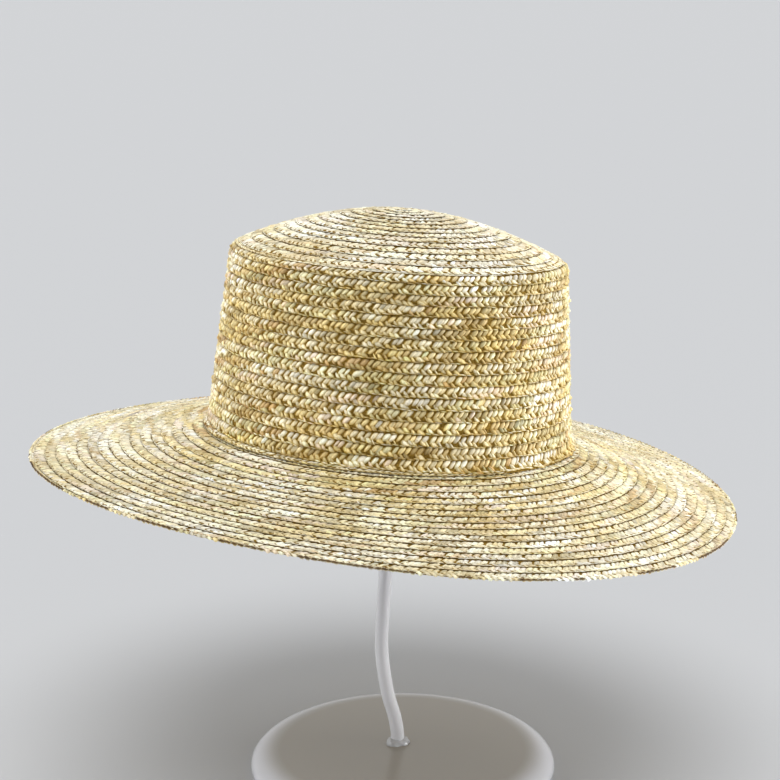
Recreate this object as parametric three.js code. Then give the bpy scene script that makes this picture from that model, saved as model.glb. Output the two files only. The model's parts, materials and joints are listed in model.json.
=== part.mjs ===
// A straw boater on its plain clear display stand, in millimetres, +Z up.
// The origin is the centre of the stand's underside. -Y is the side that is seen first.
// The hat is a coil of plaited straw braid: each row lies over the next one out, like shingles,
// so the tip, the side and the brim all carry a small step at every row.

import * as THREE from 'three';
import { mergeVertices } from 'three/addons/utils/BufferGeometryUtils.js';

// The crown: its foot is an oval, given by its mean radius outside the straw and half the
// difference between its long and short radius. Turns and leans are in radians.
const CROWN_RADIUS = 92.4;
const CROWN_OVAL = 7.3;
const OVAL_TURN = -0.22;
const CROWN_HEIGHT = 100;
const CROWN_TAPER = 8.7;
const TIP_RISE = 22.3;
const TIP_FULLNESS = 1.88;
const RIM_ROUNDING = 1.6;

// The straw wall, its rows of braid and the thread's width between two pieces.
const STRAW_WALL = 1.6;
const ROW_STEP = 0.7;
const TIP_ROWS = 15;
const SIDE_ROWS = 17;
const BRIM_ROWS = 17;
const ROW_TIGHTENING = 0.1;
const SEAM_GAP = 0.3;

// The lowest row of the side flares out over the brim. Its face is hollow: at the knee, a share
// of the row's height, it has run out by only a share of the flare.
const FOOT_FLARE = 2.8;
const FLARE_HOLLOW = 0.3;
const FLARE_KNEE = 0.5;

// The brim slopes down from the crown, less steeply towards its edge. It sags to one side and
// has a slow twist, both growing from the crown outwards, and lies a little off centre.
const BRIM_WIDTH = 94;
const BRIM_FALL = 27.6;
const BRIM_EASE = 5.8;
const BRIM_SAG = 5;
const BRIM_SAG_TOWARDS = 0.34;
const BRIM_TWIST = 3.9;
const BRIM_TWIST_TOWARDS = 1.0;
const BRIM_SHIFT_X = -2.1;
const BRIM_SHIFT_Y = -0.8;

// How the hat sits on the stand: leaning to the right, with the crown's foot at this height.
const HAT_LEAN = 0.056;
const HAT_OFFSET = -8.1;
const HAT_HEIGHT = 197.2;

// The stand: a thick disc with a rounded bevel, a collar, a bent rod and a domed pad.
const BASE_RADIUS = 87;
const BASE_FLAT_RADIUS = 72;
const BASE_HEIGHT = 9.5;
const BASE_LIP = 1.4;
const COLLAR_RADIUS = 6.4;
const COLLAR_HEIGHT = 3.2;
const COLLAR_BEVEL = 1;
const STEM_RADIUS = 3.9;
const STEM_FOOT_X = -2.8;
const STEM_FOOT_Y = 5;
const STEM_BOW = 9.4;
const STEM_CLEARANCE = 0.3;
const PAD_RADIUS = 28;
const PAD_EDGE = 3;

// Where the rod bends: shares of its height, and of its bow to the left of a straight line.
const STEM_BENDS = [
  { height: 0.053, bow: 0.19 },
  { height: 0.094, bow: 0.56 },
  { height: 0.134, bow: 0.8 },
  { height: 0.195, bow: 1 },
  { height: 0.255, bow: 0.95 },
  { height: 0.334, bow: 0.8 },
  { height: 0.67, bow: 0.38 },
];

const HAT_SEGMENTS = 42;
const TIP_INNER_RINGS = 6;
const SIDE_INNER_RINGS = 3;
const BRIM_UNDERSIDE_RINGS = 5;
const BASE_SEGMENTS = 44;
const BASE_BEVEL_STEPS = 5;
const COLLAR_SEGMENTS = 20;
const PAD_SEGMENTS = 28;
const PAD_RINGS = 4;
const STEM_SIDES = 12;
const STEM_STEPS = 30;

const straw = new THREE.MeshStandardMaterial({ color: 0xd9c59a, roughness: 0.62, metalness: 0 });
const shadedStraw = new THREE.MeshStandardMaterial({ color: 0xcdb683, roughness: 0.66, metalness: 0 });
const paleStraw = new THREE.MeshStandardMaterial({ color: 0xe2d3ae, roughness: 0.6, metalness: 0 });
const clearPlastic = new THREE.MeshStandardMaterial({ color: 0xdfe1e0, roughness: 0.08, metalness: 0 });
const milkyPlastic = new THREE.MeshStandardMaterial({ color: 0xe9eae8, roughness: 0.15, metalness: 0 });

// The tip's own radius, and the height of its top face at a distance from its centre.
const rimRadius = CROWN_RADIUS - CROWN_TAPER - RIM_ROUNDING;

function tipHeight(radius) {
  const share = Math.min(1, radius / rimRadius);
  return CROWN_HEIGHT + TIP_RISE * (1 - share ** TIP_FULLNESS);
}

// Radius of the side's outer face at a height.
function sideRadius(height) {
  return CROWN_RADIUS - (CROWN_TAPER * height) / CROWN_HEIGHT;
}

// Height of the brim's top face, without sag and twist, at a distance from the crown's centre.
function brimHeight(radius) {
  const share = Math.max(0, radius - CROWN_RADIUS) / BRIM_WIDTH;
  return -BRIM_FALL * share + BRIM_EASE * share ** 2;
}

// A brim row's outer edge stands proud of the row outside it.
const brimPitch = BRIM_WIDTH / BRIM_ROWS;

function firstBrimRowHeight(radius) {
  const share = Math.max(0, radius - CROWN_RADIUS) / brimPitch;
  return brimHeight(radius) + ROW_STEP * Math.min(1, share);
}

// A point of the round hat is moved to the oval, sagging and twisted one.
function shapeHatPoint(point) {
  const radius = Math.hypot(point.x, point.y);
  const angle = Math.atan2(point.y, point.x);
  const oval = CROWN_OVAL * Math.min(1, radius / CROWN_RADIUS);
  const brimShare = Math.max(0, radius - CROWN_RADIUS) / BRIM_WIDTH;
  point.x = (radius + oval) * Math.cos(angle);
  point.y = (radius - oval) * Math.sin(angle);
  point.applyAxisAngle(new THREE.Vector3(0, 0, 1), OVAL_TURN);
  const seen = Math.atan2(point.y, point.x);
  point.z -= BRIM_SAG * brimShare * Math.cos(seen - BRIM_SAG_TOWARDS);
  point.z += BRIM_TWIST * brimShare ** 2 * Math.cos(2 * (seen - BRIM_TWIST_TOWARDS));
  point.x += BRIM_SHIFT_X * brimShare;
  point.y += BRIM_SHIFT_Y * brimShare;
}

function turned(profile, segments) {
  const geometry = new THREE.LatheGeometry(profile, segments);
  geometry.rotateX(Math.PI / 2);
  return geometry;
}

function shapedStraw(profile) {
  const geometry = turned(profile, HAT_SEGMENTS);
  const positions = geometry.attributes.position;
  const point = new THREE.Vector3();
  for (let i = 0; i < positions.count; i += 1) {
    point.fromBufferAttribute(positions, i);
    shapeHatPoint(point);
    positions.setXYZ(i, point.x, point.y, point.z);
  }
  return smooth(geometry);
}

// One closed mesh with shared corners.
function smooth(geometry) {
  geometry.deleteAttribute('normal');
  geometry.deleteAttribute('uv');
  const merged = mergeVertices(geometry, 1e-4);
  merged.computeVertexNormals();
  return merged;
}

function named(name, geometry, material) {
  const mesh = new THREE.Mesh(geometry, material);
  mesh.name = name;
  return mesh;
}

// The tip: rows from the centre outwards, an edge that turns down, and a plain inner face.
function crownTip() {
  const pitch = rimRadius / TIP_ROWS;
  const profile = [];
  for (let ring = 0; ring <= TIP_INNER_RINGS; ring += 1) {
    const radius = (rimRadius * ring) / TIP_INNER_RINGS;
    profile.push(new THREE.Vector2(radius, tipHeight(radius) - STRAW_WALL));
  }
  for (let row = TIP_ROWS; row > 0; row -= 1) {
    const outer = row * pitch;
    const inner = (row - 1) * pitch;
    profile.push(new THREE.Vector2(outer, tipHeight(outer) + ROW_STEP));
    if (row > 1) {
      profile.push(new THREE.Vector2(inner, tipHeight(inner)));
    }
  }
  profile.push(new THREE.Vector2(0, tipHeight(0) + ROW_STEP));
  return named('crown_tip', shapedStraw(profile), paleStraw);
}

// The side: its foot stands on the brim's first row and its top carries the tip.
function crownSide() {
  const top = CROWN_HEIGHT - STRAW_WALL - SEAM_GAP;
  const rowFoot = (row) => {
    const share = row / SIDE_ROWS;
    return top * (share + ROW_TIGHTENING * share * (1 - share));
  };
  const flareRadius = CROWN_RADIUS + FOOT_FLARE;
  const flareFoot = firstBrimRowHeight(flareRadius) + SEAM_GAP;
  const firstTop = rowFoot(1);
  const profile = [
    new THREE.Vector2(CROWN_RADIUS - STRAW_WALL, SEAM_GAP),
    new THREE.Vector2(CROWN_RADIUS, SEAM_GAP),
    new THREE.Vector2(flareRadius, flareFoot),
    new THREE.Vector2(flareRadius, flareFoot + STRAW_WALL),
    new THREE.Vector2(CROWN_RADIUS + FOOT_FLARE * FLARE_HOLLOW, firstTop * FLARE_KNEE),
    new THREE.Vector2(sideRadius(firstTop), firstTop),
  ];
  for (let row = 1; row < SIDE_ROWS; row += 1) {
    profile.push(new THREE.Vector2(sideRadius(rowFoot(row)) + ROW_STEP, rowFoot(row)));
    profile.push(new THREE.Vector2(sideRadius(rowFoot(row + 1)), rowFoot(row + 1)));
  }
  for (let ring = SIDE_INNER_RINGS; ring >= 0; ring -= 1) {
    const height = SEAM_GAP + ((top - SEAM_GAP) * ring) / SIDE_INNER_RINGS;
    profile.push(new THREE.Vector2(sideRadius(height) - STRAW_WALL, height));
  }
  profile[profile.length - 1].copy(profile[0]);
  return named('crown_side', shapedStraw(profile), straw);
}

// The brim: rows from the crown outwards, a thin edge, and a plain underside.
function brim() {
  const headRadius = CROWN_RADIUS - STRAW_WALL;
  const edgeRadius = CROWN_RADIUS + BRIM_WIDTH;
  const profile = [new THREE.Vector2(headRadius, -STRAW_WALL)];
  for (let ring = 0; ring <= BRIM_UNDERSIDE_RINGS; ring += 1) {
    const radius = CROWN_RADIUS + (BRIM_WIDTH * ring) / BRIM_UNDERSIDE_RINGS;
    profile.push(new THREE.Vector2(radius, brimHeight(radius) - STRAW_WALL));
  }
  for (let row = BRIM_ROWS; row > 0; row -= 1) {
    const outer = CROWN_RADIUS + row * brimPitch;
    const inner = outer - brimPitch;
    profile.push(new THREE.Vector2(outer, brimHeight(outer) + (row < BRIM_ROWS ? ROW_STEP : 0)));
    profile.push(new THREE.Vector2(inner, brimHeight(inner)));
  }
  profile.push(new THREE.Vector2(headRadius, 0));
  profile.push(profile[0].clone());
  return named('brim', shapedStraw(profile), shadedStraw);
}

// The pad under the tip. The tip is oval and the pad round, so the pad keeps the gap of the
// tip's short axis, where the tip falls fastest.
const shortAxisShare = 1 - CROWN_OVAL / CROWN_RADIUS;

function padTop(radius) {
  return tipHeight(radius / shortAxisShare) - STRAW_WALL - SEAM_GAP;
}

const padFoot = padTop(PAD_RADIUS) - PAD_EDGE;

function standCap() {
  const profile = [new THREE.Vector2(0, padFoot), new THREE.Vector2(PAD_RADIUS, padFoot)];
  for (let ring = PAD_RINGS; ring >= 0; ring -= 1) {
    const radius = (PAD_RADIUS * ring) / PAD_RINGS;
    profile.push(new THREE.Vector2(radius, padTop(radius)));
  }
  return named('stand_cap', smooth(turned(profile, PAD_SEGMENTS)), clearPlastic);
}

// The base: a flat underside, a small upright lip and a bevel that is a quarter of an oval.
function standBase() {
  const profile = [new THREE.Vector2(0, 0), new THREE.Vector2(BASE_RADIUS, 0)];
  for (let step = 0; step <= BASE_BEVEL_STEPS; step += 1) {
    const angle = (step / BASE_BEVEL_STEPS) * (Math.PI / 2);
    profile.push(new THREE.Vector2(
      BASE_FLAT_RADIUS + (BASE_RADIUS - BASE_FLAT_RADIUS) * Math.cos(angle),
      BASE_LIP + (BASE_HEIGHT - BASE_LIP) * Math.sin(angle),
    ));
  }
  profile.push(new THREE.Vector2(0, BASE_HEIGHT));
  return named('stand_base', smooth(turned(profile, BASE_SEGMENTS)), milkyPlastic);
}

// The collar: a low ring with a bevelled shoulder, which the rod stands in.
const collarFoot = BASE_HEIGHT + SEAM_GAP;

function standCollar() {
  const hole = STEM_RADIUS + STEM_CLEARANCE;
  const profile = [
    new THREE.Vector2(hole, 0),
    new THREE.Vector2(COLLAR_RADIUS, 0),
    new THREE.Vector2(COLLAR_RADIUS, COLLAR_HEIGHT - COLLAR_BEVEL),
    new THREE.Vector2(COLLAR_RADIUS - COLLAR_BEVEL, COLLAR_HEIGHT),
    new THREE.Vector2(hole, COLLAR_HEIGHT),
    new THREE.Vector2(hole, 0),
  ];
  const mesh = named('stand_collar', smooth(turned(profile, COLLAR_SEGMENTS)), clearPlastic);
  mesh.position.set(STEM_FOOT_X, STEM_FOOT_Y, collarFoot);
  return mesh;
}

// The hat and its pad share one leaning frame.
const hat = new THREE.Group();
hat.position.set(HAT_OFFSET, 0, HAT_HEIGHT);
hat.rotation.y = HAT_LEAN;
hat.add(crownTip(), crownSide(), brim(), standCap());
hat.updateMatrixWorld(true);

// The rod: from the base, through the collar, up to the pad's underside.
function standStem() {
  const foot = new THREE.Vector3(STEM_FOOT_X, STEM_FOOT_Y, collarFoot);
  const head = new THREE.Vector3(0, 0, padFoot - STEM_CLEARANCE).applyMatrix4(hat.matrixWorld);
  const socket = new THREE.Vector3(0, 0, COLLAR_HEIGHT);
  const points = [foot, foot.clone().add(socket)];
  for (const bend of STEM_BENDS) {
    const point = foot.clone().lerp(head, bend.height);
    point.x -= STEM_BOW * bend.bow;
    points.push(point);
  }
  points.push(head);
  const section = [];
  for (let side = 0; side < STEM_SIDES; side += 1) {
    const angle = (side / STEM_SIDES) * 2 * Math.PI;
    section.push(new THREE.Vector2(STEM_RADIUS * Math.cos(angle), STEM_RADIUS * Math.sin(angle)));
  }
  const geometry = new THREE.ExtrudeGeometry(new THREE.Shape(section), {
    steps: STEM_STEPS,
    extrudePath: new THREE.CatmullRomCurve3(points),
  });
  return named('stand_stem', smooth(geometry), clearPlastic);
}

const boater = new THREE.Group();
boater.add(standBase(), standCollar(), standStem(), hat);

export default boater;
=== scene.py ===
# %% [markdown]
# A straw boater on its clear display stand.
#
# The hat is one long braid of plaited straw, wound outwards from the middle of the tip, over
# the rim, down the side of the crown and out across the brim. Each turn is sewn so that it lies
# over the next one out, like shingles on a roof. What the eye reads as "straw" is thousands of
# small folded straws, each about 3 mm wide, so this lesson models the straws themselves. A flat
# sheet with a bump texture would look right from far away only, and its outline would be smooth.

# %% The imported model
import json
import math
from collections import namedtuple

import bpy
import numpy as np
from mathutils import Matrix, Vector

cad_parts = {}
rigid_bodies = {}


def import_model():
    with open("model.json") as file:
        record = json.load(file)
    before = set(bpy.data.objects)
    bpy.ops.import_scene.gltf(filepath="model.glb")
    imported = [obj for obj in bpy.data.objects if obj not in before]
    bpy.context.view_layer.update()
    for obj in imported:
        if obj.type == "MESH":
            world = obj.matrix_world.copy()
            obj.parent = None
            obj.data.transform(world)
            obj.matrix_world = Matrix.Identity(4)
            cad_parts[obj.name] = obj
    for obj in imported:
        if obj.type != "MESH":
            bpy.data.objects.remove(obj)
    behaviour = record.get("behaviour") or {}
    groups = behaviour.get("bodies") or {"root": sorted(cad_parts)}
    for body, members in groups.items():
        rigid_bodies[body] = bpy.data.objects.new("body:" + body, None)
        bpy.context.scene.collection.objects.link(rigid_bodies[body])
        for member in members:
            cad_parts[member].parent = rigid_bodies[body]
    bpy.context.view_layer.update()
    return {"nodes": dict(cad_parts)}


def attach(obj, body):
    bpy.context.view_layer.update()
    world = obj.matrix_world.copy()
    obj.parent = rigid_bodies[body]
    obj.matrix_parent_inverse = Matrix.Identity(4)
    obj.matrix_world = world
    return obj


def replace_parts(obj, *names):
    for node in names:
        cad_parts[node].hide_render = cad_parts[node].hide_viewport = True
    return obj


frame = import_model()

MM = 0.001
TURN = 2 * math.pi
print("solids:", sorted(frame["nodes"]))

# %% [markdown]
# The camera comes first, because every later look depends on it. A product photo like this one
# is taken from about a metre away with a short telephoto lens, a little above the brim. The
# picture's middle is about level with the crown's foot, so the lens needs no shift.

# %% Camera
CAMERA_PLACE = Vector((-7.2, -920.2, 434.1)) * MM
CAMERA_DOWN = math.radians(13.09)
PHOTO_SIZE = 780
FOCAL_PIXELS = 1723.6
SENSOR = 36.0
NEAREST = 0.02
FURTHEST = 2000


def make_camera():
    data = bpy.data.cameras.new("photo_camera")
    data.sensor_width = SENSOR
    data.lens = SENSOR * FOCAL_PIXELS / PHOTO_SIZE
    data.clip_start = NEAREST
    data.clip_end = FURTHEST
    camera = bpy.data.objects.new("photo_camera", data)
    camera.location = CAMERA_PLACE
    camera.rotation_euler = (math.pi / 2 - CAMERA_DOWN, 0, 0)
    bpy.context.scene.collection.objects.link(camera)
    bpy.context.scene.camera = camera
    return camera


camera = make_camera()
print("lens in mm:", round(camera.data.lens, 1))

# %% [markdown]
# The studio is a wide pale floor under even light. The floor runs on for hundreds of metres, so
# that it fills the picture's top too. Most of the light comes from all around, as in a white
# tent. A very broad sun, high in front, draws the soft shadow round the base. Three narrow beams
# touch the hat and hardly reach the floor: one from high behind for the back of the brim, and
# one low on each side for the crown's two edges. Places and sizes here are in metres. The plain
# "Standard" view is used, because the filmic one greys the straw.

# %% Floor and lights
FLOOR_SIZE = 1600.0
FLOOR_GREY = (0.535, 0.54, 0.55, 1)
FLOOR_ROUGHNESS = 0.9
AIR_COLOUR = (0.97, 0.985, 1.0, 1)
AIR_LIGHT = 0.73
SUN_PLACE = (-0.1, -0.85, 2.7)
SUN_SPREAD = 48
SUN_LIGHT = 1.55
BEAM_SPREAD = 36
BEAMS = {
    "high_back": {"place": (0.25, 0.85, 1.15), "target": (0, 0, 0.3), "size": (0.5, 0.4), "power": 0.13},
    "left_side": {"place": (-1.1, -0.1, 0.13), "target": (0, 0, 0.26), "size": (0.4, 0.4), "power": 0.48},
    "right_side": {"place": (1.1, -0.1, 0.13), "target": (0, 0, 0.26), "size": (0.4, 0.4), "power": 0.92},
}


def new_material(name):
    """A material, its node tree and the inputs of its shader."""
    material = bpy.data.materials.new(name)
    material.use_nodes = True
    tree = material.node_tree
    return material, tree, tree.nodes["Principled BSDF"].inputs


def make_floor():
    half = FLOOR_SIZE / 2
    mesh = bpy.data.meshes.new("studio_floor")
    corners = [(-half, -half, 0), (half, -half, 0), (half, half, 0), (-half, half, 0)]
    mesh.from_pydata(corners, [], [(0, 1, 2, 3)])
    material, _, inputs = new_material("studio_floor")
    inputs["Base Color"].default_value = FLOOR_GREY
    inputs["Roughness"].default_value = FLOOR_ROUGHNESS
    mesh.materials.append(material)
    floor = bpy.data.objects.new("studio_floor", mesh)
    bpy.context.scene.collection.objects.link(floor)


def make_air():
    """Even light from all around."""
    world = bpy.data.worlds.new("studio_air")
    world.use_nodes = True
    inputs = world.node_tree.nodes["Background"].inputs
    inputs["Color"].default_value = AIR_COLOUR
    inputs["Strength"].default_value = AIR_LIGHT
    bpy.context.scene.world = world


def place_light(name, data, place, target):
    """A light in the scene that faces its target."""
    light = bpy.data.objects.new(name, data)
    light.location = place
    direction = Vector(target) - light.location
    light.rotation_euler = direction.to_track_quat("-Z", "Y").to_euler()
    bpy.context.scene.collection.objects.link(light)


def make_sun(name):
    data = bpy.data.lights.new(name, "SUN")
    data.angle = math.radians(SUN_SPREAD)
    data.energy = SUN_LIGHT
    place_light(name, data, SUN_PLACE, (0, 0, 0))


def make_beam(name, place, target, size, power):
    data = bpy.data.lights.new(name, "AREA")
    data.spread = math.radians(BEAM_SPREAD)
    data.shape = "RECTANGLE"
    data.size, data.size_y = size
    data.energy = power
    place_light(name, data, place, target)


make_floor()
make_air()
make_sun("high_front")
for name, beam in BEAMS.items():
    make_beam(name, **beam)
bpy.context.scene.view_settings.view_transform = "Standard"

# %% [markdown]
# The form of the hat is the same here as in the solids: a tip that is a low dome, a side that
# narrows upwards, and a brim that falls away from the crown, sags to one side and has a slow
# twist. The head is oval, so a round hat is worked out first and its points are then moved to
# the oval. Keeping this in a few functions lets the braid be laid on any part of the hat. From
# here on, lengths are in mm and turns in radians, until the points go into a mesh.

# %% Form of the hat
CROWN_RADIUS = 92.4
CROWN_OVAL = 7.3
OVAL_TURN = -0.22
CROWN_HEIGHT = 100.0
CROWN_TAPER = 8.7
TIP_RISE = 22.3
TIP_FULLNESS = 1.88
RIM_ROUNDING = 1.6
RIM_DEPTH = 4.0
FOOT_FLARE = 2.8
FLARE_DEPTH = 6.0
FOOT_LIFT = 0.9
BRIM_WIDTH = 94.0
BRIM_FALL = 27.6
BRIM_EASE = 5.8
BRIM_SAG = 5.0
BRIM_SAG_TOWARDS = 0.34
BRIM_TWIST = 3.9
BRIM_TWIST_TOWARDS = 1.0
BRIM_SHIFT = (-2.1, -0.8)
HAT_PLACE = Vector((-8.1, 0, 197.2))
HAT_LEAN = 0.056
RIM_RADIUS = CROWN_RADIUS - CROWN_TAPER - RIM_ROUNDING
TIP_ROWS = 15
SIDE_ROWS = 17
BRIM_ROWS = 17
ROW_TIGHTENING = 0.1
print("radius of the rim:", round(RIM_RADIUS, 1), "rows of braid:", TIP_ROWS, SIDE_ROWS, BRIM_ROWS)


# %% Profiles of the tip, the side and the brim
def tip_height(radius):
    return CROWN_HEIGHT + TIP_RISE * (1 - (radius / RIM_RADIUS)**TIP_FULLNESS)


def tip_profile(row):
    """Radius and height of the tip, row 0 at its middle and TIP_ROWS at the rim."""
    radius = RIM_RADIUS * row / TIP_ROWS
    return radius, tip_height(np.abs(radius))


def brim_height(radius):
    share = np.maximum(0, radius - CROWN_RADIUS) / BRIM_WIDTH
    return -BRIM_FALL * share + BRIM_EASE * share**2


def side_profile(row):
    """Radius and height of the crown's side, row 0 at the rim and SIDE_ROWS on the brim."""
    share = 1 - row / SIDE_ROWS
    share = share + ROW_TIGHTENING * share * (1 - share)
    foot = brim_height(CROWN_RADIUS + FOOT_FLARE) + FOOT_LIFT
    height = foot + (CROWN_HEIGHT - foot) * share
    rim = np.clip((height - CROWN_HEIGHT + RIM_DEPTH) / RIM_DEPTH, 0, 2)
    flare = np.clip(1 - (height - foot) / FLARE_DEPTH, 0, 2)
    radius = CROWN_RADIUS - CROWN_TAPER * height / CROWN_HEIGHT
    return radius - RIM_ROUNDING * rim**2 + FOOT_FLARE * flare**2, height


def brim_profile(row):
    """Radius and height of the brim, row 0 at the crown and BRIM_ROWS at its edge."""
    radius = CROWN_RADIUS + BRIM_WIDTH * row / BRIM_ROWS
    return radius, brim_height(radius)


print("height of the tip's middle:", round(float(tip_height(0)), 1))


# %% From the round hat to the real one
def shape_hat(radius, angle, height):
    """Points of the round hat, in mm, moved to the oval, sagging, leaning one, in metres."""
    oval = CROWN_OVAL * np.minimum(1, radius / CROWN_RADIUS)
    out = np.maximum(0, radius - CROWN_RADIUS) / BRIM_WIDTH
    x = (radius + oval) * np.cos(angle)
    y = (radius - oval) * np.sin(angle)
    turned_x = x * math.cos(OVAL_TURN) - y * math.sin(OVAL_TURN)
    turned_y = x * math.sin(OVAL_TURN) + y * math.cos(OVAL_TURN)
    seen = np.arctan2(turned_y, turned_x)
    sag = BRIM_SAG * out * np.cos(seen - BRIM_SAG_TOWARDS)
    twist = BRIM_TWIST * out**2 * np.cos(2 * (seen - BRIM_TWIST_TOWARDS))
    x = turned_x + BRIM_SHIFT[0] * out
    y = turned_y + BRIM_SHIFT[1] * out
    z = height - sag + twist
    lean_x = x * math.cos(HAT_LEAN) + z * math.sin(HAT_LEAN)
    lean_z = -x * math.sin(HAT_LEAN) + z * math.cos(HAT_LEAN)
    points = np.stack([lean_x + HAT_PLACE.x, y + HAT_PLACE.y, lean_z + HAT_PLACE.z], axis=-1)
    return points * MM


edge_radius, edge_height = brim_profile(BRIM_ROWS)
print("front of the brim:", shape_hat(edge_radius, -TURN / 4, edge_height).round(3))

# %% [markdown]
# A wound braid has no rings: it is a spiral. At winding angle `a` its outer edge lies at row
# `a / turn`, and its inner edge one row further in. Held between row 0 and the last row, the
# first turn grows out of nothing and the last one runs out to nothing, which is just how a hat
# maker hides both ends of the braid. Nobody sews quite true, so the rows stray a little. One
# function gives a point anywhere on, above or below the braid, and both the straws and the
# braid's body are laid with it.

# %% Laying the braid
SLOPE_STEP = 0.02
ROW_WOBBLE = 0.028
WOBBLE_RATE = 2.3
WOBBLE_DRIFT = 0.7
STEADY_ROWS = 2
SHORTEST_STEP = 1e-9


def row_edges(winding, rows):
    turns = winding / TURN
    return np.clip(turns - 1, 0, rows), np.clip(turns, 0, rows)


def last_row_edges(winding, rows):
    """The edges of a full row all round the outside, for what is wrapped over the hat's edge."""
    return 0 * winding + rows - 1, 0 * winding + rows


def row_wobble(winding, row, rows):
    """How far a row strays, as a share of its width. An area's first and last row stay true."""
    inside = np.clip(row / STEADY_ROWS, 0, 1) * np.clip((rows - row) / STEADY_ROWS, 0, 1)
    return ROW_WOBBLE * np.sin(WOBBLE_RATE * winding + np.sin(WOBBLE_DRIFT * winding)) * inside


def lay(profile, rows, winding, across, height, edges=row_edges):
    """Points at a winding angle, across the row from 0 to 1, and a height in mm above it."""
    inner, outer = edges(winding, rows)
    row = inner + (outer - inner) * across
    row = row + row_wobble(winding, row, rows)
    radius, level = profile(row)
    radius_on, level_on = profile(row + SLOPE_STEP)
    run, fall = radius_on - radius, level_on - level
    length = np.maximum(np.hypot(run, fall), SHORTEST_STEP)
    return shape_hat(radius - fall / length * height, winding, level + run / length * height)


# %% [markdown]
# The straws are folded at even steps along the braid, and not at even angles, so their places
# are found by measuring along the spiral. It is cut into very short pieces, their lengths are
# added up, and the winding angles are read off at every step.

# %% Steps along the braid
STRAW_PITCH = 3.1
SPIRAL_START = 0.02
SPIRAL_PIECES = 2000
SMALLEST_TURN = 1.2


def winding_steps(profile, rows, step, start=SPIRAL_START):
    """Winding angles from the first turn to the last, a step in mm apart along the braid."""
    fine = np.linspace(start * TURN, (rows + 1) * TURN, rows * SPIRAL_PIECES)
    inner, outer = row_edges(fine, rows)
    radius = np.maximum(np.abs(profile((inner + outer) / 2)[0]), SMALLEST_TURN)
    length = np.concatenate([[0], np.cumsum((radius[1:] + radius[:-1]) / 2 * np.diff(fine))])
    count = int(length[-1] / step)
    return np.interp(np.arange(count) * step, length, fine)


print("folded straws round the tip:", len(winding_steps(tip_profile, TIP_ROWS, STRAW_PITCH)))
print("round the side:", len(winding_steps(side_profile, SIDE_ROWS, STRAW_PITCH)))
print("round the brim:", len(winding_steps(brim_profile, BRIM_ROWS, STRAW_PITCH)))

# %% [markdown]
# Each straw of the plait shows three times in a row. High up it is a plump leaf that leans to
# the right, with a round shoulder where the straw folds over. Below, it comes back as a smaller
# leaf that leans the other way, and last it folds round the braid's lower edge in a thin pale
# roll. Small dark holes are left between them. On the tip and the brim the plait was pressed
# flat, so its leaves are wider and close the holes. Each kind of leaf is a short table, with a
# row for each section down the leaf: how far across the row the section lies, how far it has
# drifted along the row and its half width, both in straw pitches, and its height in mm.

# %% Sections of a folded straw
SECTION = ("across", "drift", "half_width", "height")
UPPER_LEAF = [
    (0.03, 0.42, 0.10, 0.00),
    (0.09, 0.37, 0.37, 0.58),
    (0.25, 0.20, 0.50, 0.90),
    (0.46, -0.05, 0.46, 0.72),
    (0.68, -0.32, 0.26, 0.05),
]
LOWER_LEAF = [
    (0.48, 0.02, 0.12, 0.12),
    (0.62, 0.18, 0.33, 0.62),
    (0.79, 0.35, 0.41, 0.58),
    (0.94, 0.50, 0.42, 0.04),
]
FLAT_UPPER_LEAF = [
    (0.02, 0.42, 0.30, 0.08),
    (0.09, 0.37, 0.45, 0.58),
    (0.25, 0.20, 0.50, 0.90),
    (0.46, -0.05, 0.48, 0.72),
    (0.68, -0.32, 0.30, 0.10),
]
FLAT_LOWER_LEAF = [
    (0.46, 0.02, 0.30, 0.34),
    (0.64, 0.20, 0.44, 0.54),
    (0.80, 0.36, 0.48, 0.50),
    (0.94, 0.50, 0.48, 0.10),
]
EDGE_FOLD = [
    (0.885, 0.44, 0.46, -0.02),
    (0.96, 0.52, 0.55, 0.36),
    (1.03, 0.58, 0.52, -0.28),
]
EDGE_LOOP = [
    (0.78, 0.34, 0.36, 0.05),
    (0.84, 0.40, 0.42, 0.48),
    (0.98, 0.48, 0.46, 0.50),
    (1.06, 0.56, 0.46, -0.45),
    (1.05, 0.64, 0.50, -1.40),
]
BACK_LEAF = [
    (0.00, 0.42, 0.30, 0.05),
    (0.18, 0.22, 0.52, 0.42),
    (0.66, -0.34, 0.34, 0.08),
]
BACK_FOLD = [
    (0.46, 0.10, 0.20, 0.10),
    (0.74, 0.34, 0.44, 0.30),
    (1.04, 0.56, 0.50, -0.10),
]
print("sections down a leaf:", len(UPPER_LEAF), len(LOWER_LEAF), len(EDGE_FOLD))
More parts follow.
